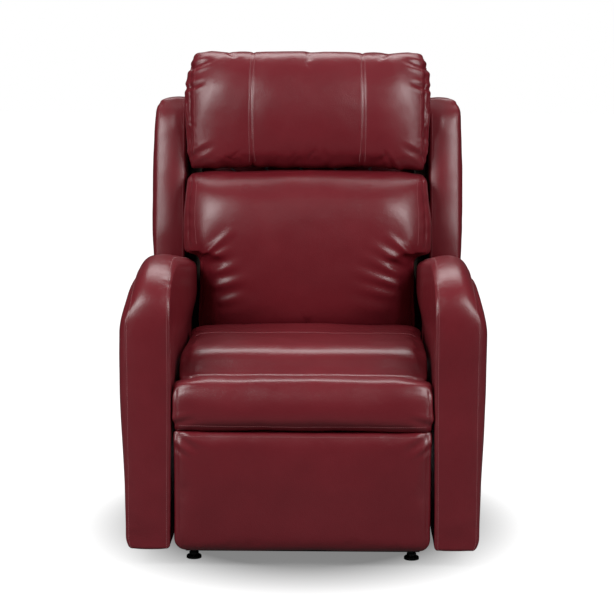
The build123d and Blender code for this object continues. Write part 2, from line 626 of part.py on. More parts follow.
# ================= Handset =================
HANDSET_X = (-409, -388)
HANDSET_Y = (-60, -5)
HANDSET_Z = (400, 582)
BUTTON_TRAVEL = 1.5
BUTTON_PLACES = {"lift_up_button": (-44, 566), "lift_down_button": (-44, 542), "recline_button": (-21, 566),
                 "upright_button": (-21, 542)}

with BuildPart() as handset_body:
    block(HANDSET_X, HANDSET_Y, HANDSET_Z)
    fillet(handset_body.edges().filter_by(Axis.X), 8)
    for place in BUTTON_PLACES.values():
        pin(place, 8.3, HANDSET_X[0] - 1, HANDSET_X[0] + 5, Mode.SUBTRACT)
    with Locations(Plane(origin=(sum(HANDSET_X) / 2, sum(HANDSET_Y) / 2, HANDSET_Z[0]))):
        Cylinder(4, 12, align=(Align.CENTER, Align.CENTER, Align.MIN), mode=Mode.SUBTRACT)
save(handset_body, "handset_body")

for button_name, place in BUTTON_PLACES.items():
    with BuildPart() as button:
        pin(place, 8, HANDSET_X[0] - 1.2, HANDSET_X[0] + 2.5)
    save(button, button_name)
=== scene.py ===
import json
import math

import bmesh
import bpy
import numpy as np
from mathutils import Matrix, Vector, noise
from mathutils.bvhtree import BVHTree


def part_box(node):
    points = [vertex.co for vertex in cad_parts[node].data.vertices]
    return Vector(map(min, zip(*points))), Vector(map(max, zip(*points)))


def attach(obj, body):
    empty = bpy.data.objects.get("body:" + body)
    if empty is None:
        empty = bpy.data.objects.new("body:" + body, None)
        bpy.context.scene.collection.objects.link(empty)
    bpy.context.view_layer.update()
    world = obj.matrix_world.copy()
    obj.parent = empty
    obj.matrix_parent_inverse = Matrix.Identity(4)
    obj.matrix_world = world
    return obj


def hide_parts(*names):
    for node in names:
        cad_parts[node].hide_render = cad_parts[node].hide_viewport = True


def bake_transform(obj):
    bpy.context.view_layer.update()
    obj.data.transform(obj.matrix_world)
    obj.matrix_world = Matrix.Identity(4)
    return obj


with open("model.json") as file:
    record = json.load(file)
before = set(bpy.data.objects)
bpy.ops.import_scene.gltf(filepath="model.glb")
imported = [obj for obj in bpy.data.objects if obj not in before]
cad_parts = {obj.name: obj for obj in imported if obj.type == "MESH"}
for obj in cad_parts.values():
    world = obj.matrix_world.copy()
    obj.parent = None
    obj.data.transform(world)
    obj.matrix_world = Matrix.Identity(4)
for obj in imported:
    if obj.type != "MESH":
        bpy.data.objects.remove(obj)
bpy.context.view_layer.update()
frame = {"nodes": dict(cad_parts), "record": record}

MM = 0.001
nodes = frame["nodes"]


def box(node):
    """Low and high corners of a CAD node, in millimetres."""
    return [np.array(tuple(corner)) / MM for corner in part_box(node)]


# ===== Camera =====
def make_camera():
    """A long lens nearly square on to the chair, a little above the headrest, tilted down."""
    distance, height, front_y = 3.900, 1.160, -0.440
    sensor_width, lens_share = 36, 2.889
    azimuth, pan, pitch, roll = (math.radians(a) for a in (0.95, -0.14, 8.16, 0.18))
    data = bpy.data.cameras.new("camera")
    data.sensor_width = sensor_width
    data.lens = sensor_width * lens_share
    camera = bpy.data.objects.new("camera", data)
    bpy.context.scene.collection.objects.link(camera)
    heading, level = azimuth + pan, math.cos(pitch)
    forward = Vector((-math.sin(heading) * level, math.cos(heading) * level, -math.sin(pitch)))
    right = Vector((math.cos(heading), math.sin(heading), 0))
    up = right.cross(forward)
    side = right * math.cos(roll) + up * math.sin(roll)
    top = up * math.cos(roll) - right * math.sin(roll)
    place = (distance * math.sin(azimuth), front_y - distance * math.cos(azimuth), height)
    turn = Matrix((side, top, -forward)).transposed().to_4x4()
    camera.matrix_world = Matrix.Translation(place) @ turn
    bpy.context.scene.camera = camera


# ===== Materials =====
def preset(node, **values):
    """Set a shader node's inputs; an underscore in a name stands for a space."""
    for name, value in values.items():
        node.inputs[name.replace("_", " ")].default_value = value
    return node


class Nodes:
    """A short way to build a node material."""

    def __init__(self, name):
        self.material = bpy.data.materials.new(name)
        self.material.use_nodes = True
        self.tree = self.material.node_tree
        self.shader = self.tree.nodes["Principled BSDF"]
        self.coords = self.tree.nodes.new("ShaderNodeTexCoord").outputs["Object"]

    def add(self, kind, **settings):
        node = self.tree.nodes.new("ShaderNode" + kind)
        for key, value in settings.items():
            setattr(node, key, value)
        return node

    def link(self, source, target):
        self.tree.links.new(source, target)

    def feed(self, socket, source):
        """Link an output to one of the shader's sockets."""
        self.link(source, self.shader.inputs[socket])

    def noise(self, scale, detail=3, roughness=0.5, coords=None):
        node = preset(self.add("TexNoise"), Scale=scale, Detail=detail, Roughness=roughness)
        self.link(coords or self.coords, node.inputs["Vector"])
        return node.outputs["Fac"]

    def ramp(self, factor, stops):
        node = self.add("ValToRGB")
        while len(node.color_ramp.elements) < len(stops):
            node.color_ramp.elements.new(0.5)
        for element, (position, colour) in zip(node.color_ramp.elements, stops):
            element.position = position
            element.color = (*colour, 1)
        self.link(factor, node.inputs["Fac"])
        return node.outputs["Color"]

    def spread(self, factor, low, high):
        node = preset(self.add("MapRange"), To_Min=low, To_Max=high)
        self.link(factor, node.inputs["Value"])
        return node.outputs["Result"]

    def bump(self, height, distance, strength=1.0, under=None):
        node = preset(self.add("Bump"), Strength=strength, Distance=distance)
        self.link(height, node.inputs["Height"])
        if under is not None:
            self.link(under, node.inputs["Normal"])
        return node.outputs["Normal"]


def leather(name, dark, mid, light):
    """Finely pebbled, semi-gloss upholstery leather with mottled dye and paler worn edges."""
    mottle_scale, patch_scale, sheen_scale, dent_scale = 7, 60, 26, 34
    jitter_scale, pebble_scale, crease_scale = 260, 520, 210
    most_wear, jitter_reach = 0.22, 0.0011
    dent_depth, crease_depth, pebble_depth = 0.0011, 0.00016, 0.00034
    n = Nodes(name)
    colour = n.ramp(n.noise(mottle_scale, 5, 0.6), [(0.25, dark), (0.52, mid), (0.80, light)])
    pointiness = n.add("NewGeometry").outputs["Pointiness"]
    wear = n.add("Math", operation="MULTIPLY")
    n.link(n.ramp(pointiness, [(0.50, (0, 0, 0)), (0.60, (1, 1, 1))]), wear.inputs[0])
    n.link(n.spread(n.noise(patch_scale, 4, 0.6), 0.0, most_wear), wear.inputs[1])
    mix = preset(n.add("MixRGB"), Color2=(*[c * 1.8 + 0.012 for c in light], 1))
    n.link(wear.outputs[0], mix.inputs["Fac"])
    n.link(colour, mix.inputs["Color1"])
    n.feed("Base Color", mix.outputs["Color"])
    n.feed("Roughness", n.spread(n.noise(sheen_scale, 4, 0.55), 0.30, 0.37))
    warp = n.add("VectorMath", operation="ADD")
    jitter = preset(n.add("TexNoise"), Scale=jitter_scale)
    shrink = preset(n.add("VectorMath", operation="SCALE"), Scale=jitter_reach)
    n.link(n.coords, jitter.inputs["Vector"])
    n.link(jitter.outputs["Color"], shrink.inputs[0])
    n.link(n.coords, warp.inputs[0])
    n.link(shrink.outputs[0], warp.inputs[1])
    pebble = preset(n.add("TexVoronoi", feature="SMOOTH_F1"), Scale=pebble_scale)
    n.link(warp.outputs[0], pebble.inputs["Vector"])
    crease = preset(n.add("TexVoronoi", feature="DISTANCE_TO_EDGE"), Scale=crease_scale)
    n.link(warp.outputs[0], crease.inputs["Vector"])
    creases = n.ramp(crease.outputs["Distance"], [(0.0, (0, 0, 0)), (0.09, (1, 1, 1))])
    dented = n.bump(n.noise(dent_scale, 3, 0.5), dent_depth, 0.30)
    creased = n.bump(creases, crease_depth, 0.35, dented)
    n.feed("Normal", n.bump(pebble.outputs["Distance"], pebble_depth, 0.55, creased))
    preset(n.shader, Specular_IOR_Level=0.6, Coat_Weight=0.08, Coat_Roughness=0.28)
    return n.material


def thread(name, colour):
    """Matt sewing thread with a slight twist in its tone."""
    n = Nodes(name)
    n.feed("Base Color", n.ramp(n.noise(900, 2), [(0.3, [c * 0.7 for c in colour]), (0.7, colour)]))
    preset(n.shader, Roughness=0.55, Sheen_Weight=0.3)
    return n.material


def powder_coat(name, colour):
    """Baked coating on steel, with fine orange peel."""
    n = Nodes(name)
    n.feed("Base Color", n.ramp(n.noise(14, 4), [(0.3, colour), (0.75, [c * 1.7 + 0.004 for c in colour])]))
    n.feed("Roughness", n.spread(n.noise(55, 4), 0.34, 0.52))
    n.feed("Normal", n.bump(n.noise(1400, 2), 0.00012, 0.5))
    return n.material


def metal(name, colour, roughness, streak):
    """Bare or plated metal with grain stretched by streak."""
    n = Nodes(name)
    stretch = preset(n.add("Mapping"), Scale=streak)
    n.link(n.coords, stretch.inputs["Vector"])
    grain = n.noise(180, 5, 0.7, stretch.outputs["Vector"])
    n.feed("Base Color", n.ramp(grain, [(0.25, [c * 0.75 for c in colour]), (0.7, colour)]))
    n.feed("Roughness", n.spread(grain, roughness - 0.08, roughness + 0.12))
    n.feed("Normal", n.bump(grain, 0.00008, 0.4))
    preset(n.shader, Metallic=1.0)
    return n.material


def timber(name, darkening=1.0):
    """Plywood with long figure; a darkening below 1 darkens it, used as painted shade on the back frame."""
    n = Nodes(name)
    stretch = preset(n.add("Mapping"), Scale=(9, 1.2, 9))
    n.link(n.coords, stretch.inputs["Vector"])
    figure = n.noise(14, 6, 0.62, stretch.outputs["Vector"])
    tones = ((0.25, (0.30, 0.17, 0.08)), (0.5, (0.50, 0.33, 0.18)), (0.8, (0.62, 0.45, 0.27)))
    n.feed("Base Color", n.ramp(figure, [(place, [c * darkening for c in tone]) for place, tone in tones]))
    n.feed("Roughness", n.spread(figure, 0.55, 0.75))
    n.feed("Normal", n.bump(figure, 0.0004, 0.5))
    return n.material


def plastic(name, colour, roughness):
    """Moulded plastic with a fine spark-eroded texture."""
    n = Nodes(name)
    n.feed("Base Color", n.ramp(n.noise(30, 3), [(0.3, colour), (0.8, [c * 1.35 + 0.003 for c in colour])]))
    n.feed("Roughness", n.spread(n.noise(90, 3), roughness - 0.06, roughness + 0.08))
    n.feed("Normal", n.bump(n.noise(2600, 1), 0.00006, 0.6))
    return n.material


def cloth_weave(name, colour):
    """Plain woven lining, warp over weft."""
    n = Nodes(name)
    waves = []
    for direction in ("X", "Z"):
        wave = preset(n.add("TexWave", bands_direction=direction), Scale=260, Distortion=0.6)
        n.link(n.coords, wave.inputs["Vector"])
        waves.append(wave.outputs["Fac"])
    both = n.add("Math", operation="MAXIMUM")
    n.link(waves[0], both.inputs[0])
    n.link(waves[1], both.inputs[1])
    n.feed("Base Color", n.ramp(both.outputs[0], [(0.2, [c * 0.5 for c in colour]), (0.9, colour)]))
    n.feed("Normal", n.bump(both.outputs[0], 0.0004, 0.7))
    preset(n.shader, Roughness=0.9)
    return n.material


DARK_RED = (0.150, 0.0092, 0.0160)
MID_RED = (0.168, 0.0112, 0.0185)
LIGHT_RED = (0.190, 0.0140, 0.0225)
LEATHER = leather("burgundy_leather", DARK_RED, MID_RED, LIGHT_RED)
# The thread's pink, paler than the leather, is partly its own tone and partly a painted highlight along the
# sewn seam ridges.
SEAM_THREAD_AND_HIGHLIGHT = thread("seam_thread_and_painted_highlight", (0.36, 0.085, 0.098))
SLOT_LOOKS = {
    "mechanism_steel": powder_coat("black_powder_coat", (0.012, 0.012, 0.013)),
    "zinc_plated_steel": metal("zinc_plate", (0.55, 0.55, 0.53), 0.32, (1, 14, 14)),
    "spring_wire": metal("spring_wire", (0.24, 0.24, 0.25), 0.42, (4, 4, 4)),
    "timber": timber("birch_plywood"),
    "upholstery_leather": LEATHER,
    "black_plastic": plastic("black_moulding", (0.016, 0.016, 0.018), 0.46),
    "button_plastic": plastic("grey_keys", (0.28, 0.29, 0.31), 0.4),
    "foot_plastic": plastic("glide_plastic", (0.012, 0.012, 0.012), 0.38),
    "dust_cloth": cloth_weave("dust_cloth", (0.03, 0.03, 0.032)),
}
# The back frame is darkened where it shows in the gaps beside the back cushion: painted shade there, partly
# standing for the frame's dark covering.
SHADE_DARK_TIMBER = timber("darkened_plywood_painted_shade", 0.08)
SHADE_DARKENED_NODES = ("back_stiles", "back_rails")


def dress_cad_nodes():
    """Give every CAD piece the full material of its slot, and darken the back frame: partly the dark covering
    of the real frame, partly painted shade in the narrow gaps beside the back cushion.
    """
    for row in frame["record"]["subparts"]:
        mesh = nodes[row["node"]].data
        mesh.materials.clear()
        shade_darkened = row["node"] in SHADE_DARKENED_NODES
        mesh.materials.append(SHADE_DARK_TIMBER if shade_darkened else SLOT_LOOKS[row["material_slot"]])


# ===== Mesh tools (millimetres) =====
def new_object(name, points, faces, material, levels=0):
    """A smooth-shaded mesh object from points in millimetres."""
    mesh = bpy.data.meshes.new(name)
    mesh.from_pydata([tuple(p) for p in np.asarray(points, float) * MM], [], faces)
    mesh.validate()
    work = bmesh.new()
    work.from_mesh(mesh)
    bmesh.ops.remove_doubles(work, verts=work.verts, dist=1e-5)
    bmesh.ops.recalc_face_normals(work, faces=work.faces)
    work.to_mesh(mesh)
    work.free()
    mesh.polygons.foreach_set("use_smooth", [True] * len(mesh.polygons))
    mesh.materials.append(material)
    obj = bpy.data.objects.new(name, mesh)
    bpy.context.scene.collection.objects.link(obj)
    if levels:
        apply_subdivision(obj, levels)
    return obj


def apply_modifiers(obj):
    """Replace the object's mesh with its evaluated one."""
    bpy.context.view_layer.update()
    graph = bpy.context.evaluated_depsgraph_get()
    mesh = bpy.data.meshes.new_from_object(obj.evaluated_get(graph))
    obj.modifiers.clear()
    obj.data = mesh
    mesh.polygons.foreach_set("use_smooth", [True] * len(mesh.polygons))


def apply_subdivision(obj, levels=1):
    """Subdivide the object's mesh smoothly."""
    modifier = obj.modifiers.new("subdivide", "SUBSURF")
    modifier.levels = modifier.render_levels = levels
    apply_modifiers(obj)


def coordinates(obj):
    """The object's vertices in millimetres."""
    points = np.empty(len(obj.data.vertices) * 3)
    obj.data.vertices.foreach_get("co", points)
    return points.reshape(-1, 3) / MM


def normals(obj):
    result = np.empty(len(obj.data.vertices) * 3)
    obj.data.vertices.foreach_get("normal", result)
    return result.reshape(-1, 3)


def set_coordinates(obj, points):
    obj.data.vertices.foreach_set("co", (points * MM).ravel())
    obj.data.update()


def sculpt(obj, height):
    """Move every point along its normal by height(points, normals), in millimetres."""
    points, outward = coordinates(obj), normals(obj)
    set_coordinates(obj, points + outward * height(points, outward)[:, None])


def smooth_noise(points, wavelength, seed=0.0):
    """Repeatable soft noise from about -1 to 1."""
    shift = Vector((seed, seed * 1.7, -seed))
    return np.array([noise.noise(Vector(p) / wavelength + shift) for p in points]) * 1.6


def step(value, low, high):
    """0 below low, 1 above high, and a smooth rise between."""
    t = np.clip((value - low) / (high - low), 0, 1)
    return t * t * (3 - 2 * t)


def line_distance(a, b, start, end):
    """Distance of points (a, b) from a segment, and the share of the way along it."""
    start, end = np.array(start, float), np.array(end, float)
    along = end - start
    share = ((a - start[0]) * along[0] + (b - start[1]) * along[1]) / (along @ along)
    held = np.clip(share, 0, 1)
    gap = np.hypot(a - start[0] - held * along[0], b - start[1] - held * along[1])
    return gap, share


def fold(a, b, start, end, width, depth):
    """A pinch fold between two points: a valley with a bank on each side, fading at its far end."""
    gap, share = line_distance(a, b, start, end)
    fade = step(share, -0.25, 0.12) * (1 - step(share, 0.45, 1.15))
    valley = np.exp(-(gap / width) ** 2)
    banks = np.exp(-((gap - 1.75 * width) / (0.9 * width)) ** 2)
    return depth * fade * (0.55 * banks - valley)


def ridge(a, b, start, end, width, height):
    """A soft rounded fold between two points of a face, lower and wider towards its far end."""
    gap, share = line_distance(a, b, start, end)
    fade = step(share, -0.35, 0.25) * (1 - step(share, 0.35, 1.25))
    spread = width * (1 + 0.5 * np.clip(share, 0, 1.3))
    bed = np.exp(-(gap / (2.1 * spread)) ** 2)
    return height * fade * (1.45 * np.exp(-(gap / spread) ** 2) - 0.75 * bed)


def groove(distance, depth, width):
    """A sewn channel, at its deepest where distance is 0."""
    return -depth * np.exp(-(distance / width) ** 2)


def dome(share, power):
    """1 in the middle of a panel and 0 at both edges; a higher power is flatter."""
    return 1 - np.abs(2 * share - 1) ** power


def resample(points, count, clustering=0.0):
    """Even points along a polyline, gathered towards both ends by clustering."""
    points = np.asarray(points, float)
    steps = np.linalg.norm(np.diff(points, axis=0), axis=1)
    travel = np.concatenate([[0], np.cumsum(steps)])
    share = np.linspace(0, 1, count)
    share = share - clustering * np.sin(2 * np.pi * share) / (2 * np.pi)
    return np.stack([np.interp(share * travel[-1], travel, column) for column in points.T], axis=1)


def soften(points, times):
    """Round the corners of an open polyline."""
    points = np.asarray(points, float).copy()
    for _ in range(times):
        points[1:-1] = (points[:-2] + 2 * points[1:-1] + points[2:]) / 4
    return points


def leather_piece(obj, body, fill, *stands_for):
    """Mount a padded leather piece on its body, in place of the CAD nodes that it stands for."""
    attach(obj, body)
    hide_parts(*stands_for)


# ---- Builder 1: a padded panel body, as an arm or a wing ----
def coons(bottom, right, top, left):
    """Fill four curves with a grid: bottom and top run left to right, left and right run upwards."""
    u = np.linspace(0, 1, len(bottom))[None, :, None]
    v = np.linspace(0, 1, len(left))[:, None, None]
    ruled = (1 - v) * bottom[None] + v * top[None] + (1 - u) * left[:, None] + u * right[:, None]
    corners = ((1 - u) * (1 - v) * bottom[0] + u * (1 - v) * bottom[-1]
               + (1 - u) * v * top[0] + u * v * top[-1])
    return ruled - corners


SEAM_SINK = 2.6
SEAM_GATHERING = 0.72


def panel_body(name, sides, seams, bulges, crown, band_rows=14):
    """Two bulging side panels joined by a crowned band, with a sunk seam along each edge of the band.

    sides are the bottom, right, top and left curves of the side view; seams and bulges give x for each panel.
    """
    bottom, right, top, left = sides
    grid = coons(bottom, right, top, left)
    rows, columns = grid.shape[:2]
    ring_index = ([(0, c) for c in range(columns)] + [(r, columns - 1) for r in range(1, rows)]
                  + [(rows - 1, c) for c in range(columns - 2, -1, -1)]
                  + [(r, 0) for r in range(rows - 2, 0, -1)])
    ring = np.array([grid[r, c] for r, c in ring_index])
    tangent = np.roll(ring, -1, 0) - np.roll(ring, 1, 0)
    outward = np.stack([tangent[:, 1], -tangent[:, 0]], axis=1)
    outward /= np.linalg.norm(outward, axis=1)[:, None]
    area = 0.5 * np.sum(ring[:, 0] * np.roll(ring[:, 1], -1) - np.roll(ring[:, 0], -1) * ring[:, 1])
    outward *= 1 if area > 0 else -1
    u = np.linspace(0, 1, columns)[None, :]
    v = np.linspace(0, 1, rows)[:, None]
    points, faces, panel_start = [], [], []
    for side in (0, 1):
        panel_start.append(len(points))
        x = seams[side](grid) + bulges[side](u + 0 * v, v + 0 * u, grid)
        x[0] = seams[side](grid[0])  # the bottom edge has no bulge
        points.extend(np.dstack([x[..., None], grid]).reshape(-1, 3))
        for r in range(rows - 1):
            for c in range(columns - 1):
                i = panel_start[side] + r * columns + c
                faces.append((i, i + 1, i + columns + 1, i + columns))
    share = np.linspace(0, 1, band_rows + 1)
    share = share - SEAM_GATHERING * np.sin(2 * np.pi * share) / (2 * np.pi)
    band = []
    for k, t in enumerate(share):
        if k in (0, band_rows):
            band.append([panel_start[int(k > 0)] + r * columns + c for r, c in ring_index])
            continue
        x = (1 - t) * seams[0](ring) + t * seams[1](ring)
        lift = SEAM_SINK + crown(ring, t)
        place = ring + outward * lift[:, None]
        band.append(list(range(len(points), len(points) + len(ring))))
        points.extend(np.column_stack([x, place]))
    for k in range(band_rows):
        for i in range(len(ring)):
            j = (i + 1) % len(ring)
            faces.append((band[k][i], band[k][j], band[k + 1][j], band[k + 1][i]))
    obj = new_object(name, points, faces, LEATHER, levels=1)
    return obj, [np.column_stack([seams[s](ring), ring]) for s in (0, 1)]


# ---- Builder 2: a cushion lofted through rounded rectangles ----
def rounded(wave, power):
    """A sine or cosine bent to run round a rounded rectangle of half size 1."""
    return np.sign(wave) * np.abs(wave) ** (2 / power)


def cushion(name, stations, material=LEATHER, ring_points=132, powers=(5, 2.6)):
    """Loft through stations (y_front, z_front, y_back, z_back, half_width); both ends are closed."""
    angles = np.linspace(0, 2 * np.pi, ring_points, endpoint=False) + np.pi / ring_points
    across = rounded(np.cos(angles), powers[0])
    share = (1 - rounded(np.sin(angles), powers[1])) / 2
    points, faces = [], []
    for y_front, z_front, y_back, z_back, half_width in stations:
        y = y_front + (y_back - y_front) * share
        z = z_front + (z_back - z_front) * share
        points.extend(np.column_stack([across * half_width, y, z]))
    count = ring_points
    for s in range(len(stations) - 1):
        for i in range(count):
            j = (i + 1) % count
            faces.append((s * count + i, s * count + j, (s + 1) * count + j, (s + 1) * count + i))
    for base in (0, (len(stations) - 1) * count):
        for i in range(count // 2 - 1):
            faces.append((base + i, base + i + 1, base + count - 2 - i, base + count - 1 - i))
    return new_object(name, points, faces, material, levels=1)


# ---- Cloth pass for padded pieces ----
VOXEL = 6.0
PRESSURE = 4.0
CLOTH_FRAMES = 20


def inflate(obj, cap):
    """Remesh the cushion evenly and let its cover swell as pressurised cloth, by up to cap.

    The swollen cushion is brought back to the size that it was cut to, so that it still fills its place.
    """
    cut = coordinates(obj)
    remesh = obj.modifiers.new("even_mesh", "REMESH")
    remesh.mode = "VOXEL"
    remesh.voxel_size = VOXEL * MM
    apply_modifiers(obj)
    cover = bpy.data.objects.new(obj.name + "_cloth", obj.data.copy())
    bpy.context.scene.collection.objects.link(cover)
    cloth = cover.modifiers.new("cloth", "CLOTH")
    cloth.settings.use_pressure = True
    cloth.settings.uniform_pressure_force = PRESSURE
    cloth.settings.effector_weights.gravity = 0
    cloth.point_cache.frame_start, cloth.point_cache.frame_end = 1, CLOTH_FRAMES
    before = coordinates(cover)
    for frame_number in range(1, CLOTH_FRAMES + 1):
        bpy.context.scene.frame_set(frame_number)
    graph = bpy.context.evaluated_depsgraph_get()
    swollen = bpy.data.meshes.new_from_object(cover.evaluated_get(graph))
    after = np.empty(len(swollen.vertices) * 3)
    swollen.vertices.foreach_get("co", after)
    moved = after.reshape(-1, 3) / MM - before
    reach = np.linalg.norm(moved, axis=1)
    moved *= np.where(reach > cap, cap / np.maximum(reach, 1e-9), 1)[:, None]
    swelled = before + moved
    low, high = swelled.min(0), swelled.max(0)
    share = (swelled - low) / (high - low)
    set_coordinates(obj, cut.min(0) + share * (cut.max(0) - cut.min(0)))
    bpy.data.objects.remove(cover)
    bpy.data.meshes.remove(swollen)
    bpy.context.scene.frame_set(1)
    print(f"{obj.name}: cloth moved {reach.mean():.1f} mm on average, {reach.max():.1f} mm at most")
    apply_subdivision(obj)


# ---- Stitching ----
STITCH_PITCH, STITCH_LENGTH, STITCH_RADIUS, STITCH_SIDES = 5.2, 3.7, 0.55, 6
STITCH_LIFT, STITCH_REACH = 0.15, 30 * MM


def stitches(name, target, paths, body):
    """Rows of short raised stitches that lie on the target's surface along the given lines."""
    bpy.context.view_layer.update()
    tree = BVHTree.FromObject(target, bpy.context.evaluated_depsgraph_get())
    sides = STITCH_SIDES
    points, faces = [], []
    for path in paths:
        path = np.asarray(path, float)
        total = np.linalg.norm(np.diff(path, axis=0), axis=1).sum()
        places = resample(path, max(3, int(total / STITCH_PITCH)))
        for i in range(1, len(places) - 1):
            here, facing, *_ = tree.find_nearest(Vector(places[i]) * MM, STITCH_REACH)
            if here is None:
                continue
            run = Vector(places[i + 1] - places[i - 1])
            run = (run - facing * run.dot(facing)).normalized()
            cross = facing.cross(run)
            middle = here / MM + facing * STITCH_LIFT
            base = len(points)
            for along, size in ((-0.5, 0.45), (-0.3, 1), (0.3, 1), (0.5, 0.45)):
                for k in range(sides):
                    a = 2 * math.pi * k / sides
                    offset = (cross * math.cos(a) * 1.1 + facing * math.sin(a)) * STITCH_RADIUS * size
                    points.append(middle + run * along * STITCH_LENGTH + offset)
            for ring in range(3):
                for k in range(sides):
                    a, b = base + ring * sides + k, base + ring * sides + (k + 1) % sides
                    faces.append((a, b, b + sides, a + sides))
            faces.append(tuple(base + k for k in reversed(range(sides))))
            faces.append(tuple(base + 3 * sides + k for k in range(sides)))
    obj = new_object(name, points, faces, SEAM_THREAD_AND_HIGHLIGHT)
    if isinstance(body, tuple):
        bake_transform(obj)
    else:
        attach(obj, body)


# ===== Arms =====
ARM_MIDDLE = np.array([-120.0, 330.0])
ARM_INNER_SEAM, ARM_OUTER_SEAM = 298.0, 399.0
ARM_BODY = "carriage"


def away_from_arm_middle(curve):
    """Unit vectors in the arm's side view that point outwards."""
    away = curve - ARM_MIDDLE
    return away / np.linalg.norm(away, axis=1)[:, None]


def arm_sides():
    """Bottom, rear, top and front curves of the arm's side view."""
    (_, front, bottom), (_, rear, top) = box("left_arm_upholstery")
    shoulder_y, shoulder_z, body_rear, rear_top, rear_step = -250, 575, 205, 636, 262
    turn = [(shoulder_y + (front - shoulder_y) * math.cos(a),
             shoulder_z + (top - shoulder_z) * math.sin(a)) for a in np.linspace(0, math.pi / 2, 24)]
    middle = len(turn) // 2
    front_curve = [(front, bottom)] + turn[:middle + 1]
    top_curve = turn[middle:] + [(-100, top - 14), (body_rear, rear_top)]
    rear_curve = [(rear, bottom), (rear, rear_step), (body_rear, rear_step + 38), (body_rear, rear_top)]
    rear_curve = soften(resample(rear_curve, 60), 10)
    inset = 9.0
    curves = (resample([(front, bottom), (rear, bottom)], 66, 0.8), resample(rear_curve, 60, 0.8),
              resample(top_curve, 66, 0.8), resample(front_curve, 60, 0.8))
    return [curve - away_from_arm_middle(curve) * inset for curve in curves]


def build_arm(side, label):
    """One padded arm: outer and inner panels, and a front-and-top band between two seams."""
    recess_middle, recess_depth, recess_plane = -32, 13.8, 383.5

    def outer_seam(p):
        return side * (ARM_OUTER_SEAM - 9 * (1 - step(p[..., 1], 36, 74)) ** 1.5)

    def inner_seam(p):
        return side * (ARM_INNER_SEAM + 4 * (1 - step(p[..., 1], 40, 460)))

    def outer_bulge(u, v, p):
        height = 3 + 11 * step(p[..., 1], 60, 420) + 2 * step(p[..., 0], -420, -250)
        bulge = 2 + height * dome(u, 6) * dome(v, 6)
        if side < 0:
            held = ((1 - step(np.abs(p[..., 0] - recess_middle), 66, 92)) * step(p[..., 1], 372, 392)
                    * (1 - step(p[..., 1], 610, 655)))
            bulge = bulge * (1 - held) - recess_depth * held
        return side * bulge

    def inner_bulge(u, v, p):
        height = 16 * step(p[..., 1], 470, 560) * step(p[..., 0], -430, -80)
        bulge = 2 + height * dome(u, 9) * dome(v, 10)
        return -side * bulge

    def crown(ring, t):
        upright = step(ring[:, 1], 60, 120)
        swell = 6.5 + 4.0 * step(ring[:, 1], 600, 680)
        tuck = 2.6 * np.exp(-((ring[:, 1] - 582) / 22) ** 2) * (ring[:, 0] < -300)
        shape = dome(t, 2.4)
        return swell * shape * (0.35 + 0.65 * upright) - tuck * shape ** 0.5

    obj, seams = panel_body(f"{label}_arm_cover", arm_sides(), (outer_seam, inner_seam),
                            (outer_bulge, inner_bulge), crown)

    def shoulder(p):
        """Slope the top down to the outer seam, and clear the handset's path over the pocket."""
        p = p.copy()
        out = np.clip((np.abs(p[:, 0]) - 340) / 60, 0, 1.1) ** 2
        p[:, 0] -= side * 16 * out * step(p[:, 2], 540, 690)
        p[:, 2] -= 27 * out * step(p[:, 2], 470, 700)
        if side < 0:
            recess = (1 - step(np.abs(p[:, 1] - recess_middle), 64, 94)) * step(p[:, 2], 372, 392)
            p[:, 0] += recess * np.clip(np.abs(p[:, 0]) - recess_plane, 0, None)
        return p

    set_coordinates(obj, shoulder(coordinates(obj)))
    seams = [shoulder(seam) for seam in seams]

    def relief(p, n):
        height = 0.9 * smooth_noise(p, 170, 3.1 + side) + 0.35 * smooth_noise(p, 60, 7.7 * side)
        for seam in seams:
            near = np.abs(np.abs(p[:, 0]) - abs(seam[0][0]))
            rim = np.exp(-(near / 20) ** 2) * (np.abs(n[:, 0]) < 0.8)
            height += 0.55 * rim * smooth_noise(p, 15, 11)
        crease = np.exp(-((p[:, 2] - 590) / 9) ** 2) * (p[:, 1] < -395)
        height += -0.5 * crease * (0.6 + 0.4 * smooth_noise(p, 40, 5))
        return height

    sculpt(obj, relief)
    leather_piece(obj, ARM_BODY, 0.85, f"{label}_arm_upholstery", f"{label}_arm_frame")
    rows = []
    for seam, inward in zip(seams, (-1, 1)):
        shown = seam[seam[:, 2] > 46]
        start = int(np.argmin(np.abs(shown[:, 1] - 300) + np.abs(shown[:, 2] - 50)))
        line = np.roll(shown, -start, axis=0)
        line[:, 0] += side * inward * 5.5
        line[:, 1:] += away_from_arm_middle(line[:, 1:]) * 6
        rows.append(line)
    stitches(f"{label}_arm_stitching", obj, rows, ARM_BODY)


# ===== Back =====
RECLINE_SLOPE = math.tan(math.radians(12))
HINGE_Y, HINGE_Z = 170, 330


def back_plane(z):
    """y of the back frame's plane at height z."""
    return HINGE_Y + (z - HINGE_Z) * RECLINE_SLOPE


